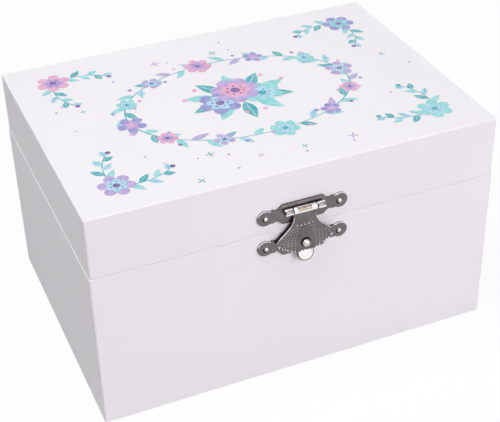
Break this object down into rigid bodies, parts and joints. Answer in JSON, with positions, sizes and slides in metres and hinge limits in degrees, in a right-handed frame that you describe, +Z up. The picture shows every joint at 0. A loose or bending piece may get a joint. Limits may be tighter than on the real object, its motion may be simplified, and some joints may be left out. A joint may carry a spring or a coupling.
{
  "type": "musical jewellery box",
  "caption": "White lacquered wooden jewellery box with a hinged mirror lid, ornate front clasp, velvet-lined well, and a wind-up musical movement that turns a fold-down dancer.",
  "frame": {"origin": "middle of the flat underside", "axes": "+Z up, +X along the long front to the right, the clasp at the front on -Y, the key at the back on +Y"},
  "size_m": [0.152, 0.128, 0.086],
  "materials": {
    "lacquer": "smooth white lacquer on fibreboard",
    "board": "bare fibreboard",
    "lining": "short-pile lilac velvet paper",
    "mirror": "silvered, bevelled",
    "antique_metal": "darkened nickel, high points rubbed bright",
    "nickel": "nickel plate",
    "steel": "bright steel",
    "brass": "plain brass",
    "plastic": "moulded white",
    "doll": "painted moulding",
    "tulle": "gathered net"
  },
  "bodies": {
    "case": {"front_wall": "lacquer", "back_wall": "lacquer", "left_wall": "lacquer", "right_wall": "lacquer", "floor_panel": "board", "deck_panel": "board", "partition_panel": "board", "floor_pad": "lining", "wall_lining": "lining", "clasp_catch_plate": "antique_metal", "clasp_stud": "antique_metal", "clasp_catch_nails": "antique_metal", "left_hinge_case_leaf": "nickel", "right_hinge_case_leaf": "nickel", "left_hinge_pin": "nickel", "right_hinge_pin": "nickel", "hinge_case_screws": "nickel", "key_bush": "nickel", "movement_bedplate": "steel", "movement_screws": "nickel", "comb": "steel", "comb_base": "brass", "comb_screws": "steel", "cylinder_bracket_inner": "steel", "cylinder_bracket_outer": "steel", "governor_frame": "steel", "spindle_bush": "brass", "stop_rod_guide": "nickel"},
    "lid": {"lid_top_panel": "lacquer", "lid_front_wall": "lacquer", "lid_back_wall": "lacquer", "lid_left_wall": "lacquer", "lid_right_wall": "lacquer", "lid_pad": "lining", "mirror": "mirror", "lid_lining": "lining", "left_hinge_lid_leaf": "nickel", "right_hinge_lid_leaf": "nickel", "hinge_lid_screws": "nickel", "clasp_lid_plate": "antique_metal", "clasp_pin": "antique_metal", "clasp_lid_nails": "antique_metal"},
    "hasp": {"clasp_hasp": "antique_metal"},
    "key": {"winding_key": "nickel", "winding_arbor": "steel"},
    "barrel": {"spring_barrel": "brass", "barrel_cap": "brass", "mainspring": "steel"},
    "cylinder": {"pinned_cylinder": "brass", "cylinder_arbor": "brass", "cylinder_wheel": "brass"},
    "governor": {"governor_wheel": "brass"},
    "fan": {"governor_fan": "plastic"},
    "spindle": {"dancer_spindle": "plastic"},
    "spring": {"dancer_spring": "steel"},
    "dancer": {"dancer_peg": "plastic", "dancer_figure": "doll", "dancer_tutu": "tulle"},
    "stop_rod": {"stop_rod": "steel"}
  },
  "joints": [
    {"name": "lid_hinge", "type": "hinge", "parent": "case", "child": "lid", "pos_m": [0, 0.0559, 0.0629], "axis": [-1, 0, 0], "range_deg": [0, 95]},
    {"name": "clasp_swing", "type": "hinge", "parent": "lid", "child": "hasp", "pos_m": [0, -0.05645, 0.071], "axis": [-1, 0, 0], "range_deg": [0, 150]},
    {"name": "key_wind", "type": "hinge", "parent": "case", "child": "key", "pos_m": [0, 0.0555, 0.019], "axis": [0, 1, 0], "continuous": true},
    {"name": "cylinder_spin", "type": "hinge", "parent": "case", "child": "cylinder", "pos_m": [0.0267, 0.0382, 0.019], "axis": [1, 0, 0], "continuous": true},
    {"name": "barrel_spin", "type": "hinge", "parent": "case", "child": "barrel", "pos_m": [0, 0.04, 0.019], "axis": [0, 1, 0], "continuous": true},
    {"name": "governor_spin", "type": "hinge", "parent": "case", "child": "governor", "pos_m": [0.045, 0.0382, 0.027], "axis": [1, 0, 0], "continuous": true},
    {"name": "fan_spin", "type": "hinge", "parent": "case", "child": "fan", "pos_m": [0.0479, 0.0326, 0.027], "axis": [0, 0, 1], "continuous": true},
    {"name": "spindle_spin", "type": "hinge", "parent": "case", "child": "spindle", "pos_m": [0, 0.0382, 0.04], "axis": [0, 0, 1], "continuous": true},
    {"name": "spring_bend", "type": "hinge", "parent": "case", "child": "spring", "pos_m": [0, 0.0382, 0.0487], "axis": [-1, 0, 0], "range_deg": [0, 70], "deforming": ["dancer_spring"]},
    {"name": "dancer_spin", "type": "hinge", "parent": "spring", "child": "dancer", "pos_m": [0, 0.0382, 0.0487], "axis": [0, -0.9397, 0.342], "continuous": true},
    {"name": "stop_rod_slide", "type": "slide", "parent": "case", "child": "stop_rod", "axis": [0, 0, 1], "range_m": [0, 0.003]}
  ],
  "couplings": [
    {"joint": "barrel_spin", "follows": "cylinder_spin", "ratio": -0.25},
    {"joint": "spindle_spin", "follows": "cylinder_spin", "ratio": 1},
    {"joint": "dancer_spin", "follows": "cylinder_spin", "ratio": 1},
    {"joint": "governor_spin", "follows": "cylinder_spin", "ratio": -3},
    {"joint": "fan_spin", "follows": "cylinder_spin", "ratio": -60},
    {"joint": "spring_bend", "follows": "lid_hinge", "ratio": 0.73684},
    {"joint": "stop_rod_slide", "follows": "lid_hinge", "m_per_rad": 0.0018093}
  ]
}
